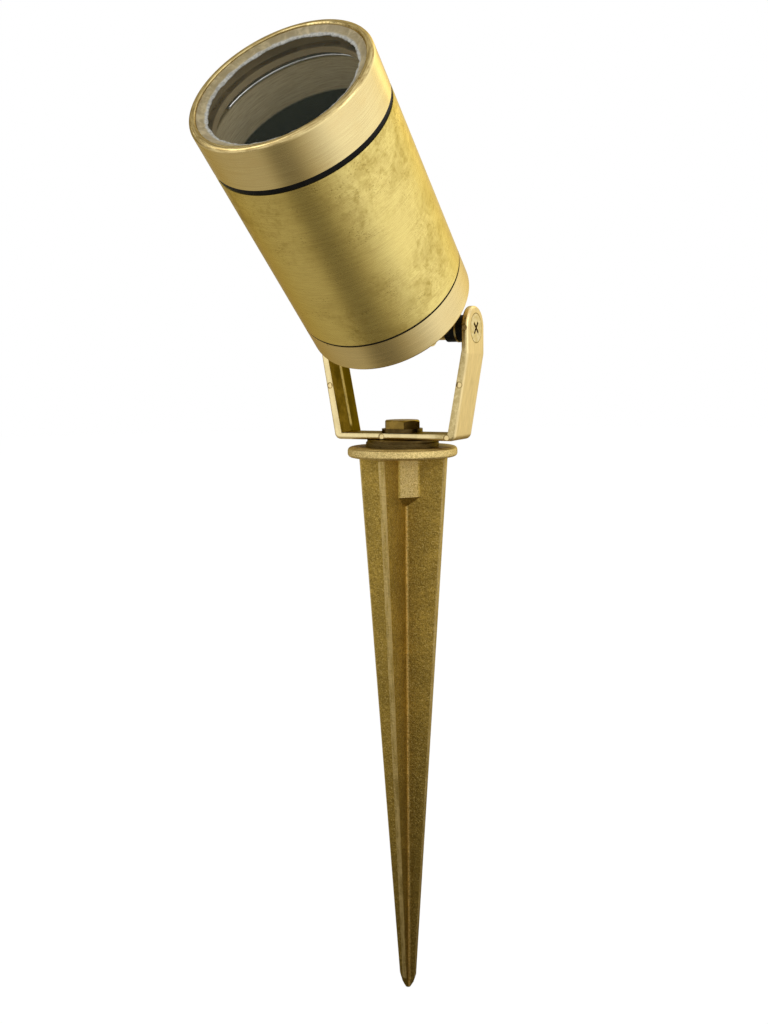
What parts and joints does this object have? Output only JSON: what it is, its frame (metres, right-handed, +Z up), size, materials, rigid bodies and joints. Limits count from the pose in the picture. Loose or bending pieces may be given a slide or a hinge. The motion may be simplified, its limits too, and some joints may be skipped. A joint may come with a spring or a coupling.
{
  "type": "garden spike spotlight",
  "caption": "Brass garden spotlight: cylindrical tilting head in a U-shaped yoke that pans on a flanged cross-bladed ground spike.",
  "frame": {"origin": "centre of the flange's underside, where the spike enters the ground", "axes": "+Z up along the spike; the pivot's axis along X; the head leans towards -Y at rest"},
  "size_m": [0.063, 0.1264, 0.3683],
  "materials": {
    "cast_brass": "sand cast, darkened",
    "brass": "turned",
    "satin_brass": "fine brushed",
    "tube_brass": "mottled, lightly worn",
    "rubber": "matte",
    "steel": "bright",
    "ceramic": "glazed",
    "plastic": "matte",
    "lead_insulation": "silicone sleeve",
    "glass": "clear, greenish edge",
    "silicone": "translucent bead"
  },
  "bodies": {
    "spike": {"ground_spike": "cast_brass", "yoke_bolt": "brass", "yoke_bolt_washer": "brass", "swivel_washer": "rubber"},
    "yoke": {"yoke_bracket": "cast_brass"},
    "head": {"pivot_inner_ring_left": "rubber", "pivot_washer_left": "brass", "pivot_outer_ring_left": "rubber", "pivot_inner_ring_right": "rubber", "pivot_washer_right": "brass", "pivot_outer_ring_right": "rubber", "pivot_block": "brass", "pivot_block_gasket": "rubber", "pivot_screws": "brass", "pivot_block_screws": "steel", "rear_cap": "satin_brass", "gland_washer": "rubber", "gland_body": "brass", "gland_seal": "rubber", "gland_dome_nut": "brass", "head_tube": "tube_brass", "lamp_retaining_ring": "steel", "rear_cap_seal_ring": "rubber", "carrier_posts": "brass", "carrier_screws": "steel", "lamp_carrier": "steel", "lamp_holder": "ceramic", "holder_screws": "steel", "holder_contacts": "brass", "terminal_block": "plastic", "clamp_screws": "brass", "terminal_screws": "steel", "lamp_lead_left": "lead_insulation", "lamp_lead_right": "lead_insulation"},
    "bezel_seal": {"bezel_seal_ring": "rubber"},
    "bezel": {"bezel_ring": "satin_brass", "lens_glass": "glass", "silicone_bead": "silicone"}
  },
  "joints": [
    {"name": "yoke_pan", "type": "hinge", "parent": "spike", "child": "yoke", "pos_m": [0, 0, 0.0068], "axis": [0, 0, 1], "continuous": true},
    {"name": "head_tilt", "type": "hinge", "parent": "yoke", "child": "head", "pos_m": [0, 0, 0.0488], "axis": [1, 0, 0], "range_deg": [-144, 46]},
    {"name": "bezel_travel", "type": "slide", "parent": "head", "child": "bezel_seal", "axis": [0, -0.7547, 0.6561], "range_m": [0, 0.006]},
    {"name": "bezel_turn", "type": "hinge", "parent": "bezel_seal", "child": "bezel", "pos_m": [0, -0.07336, 0.11257], "axis": [0, -0.7547, 0.6561], "range_deg": [0, 1440]}
  ],
  "couplings": [
    {"joint": "bezel_travel", "follows": "bezel_turn", "m_per_rad": 0.00023873}
  ]
}
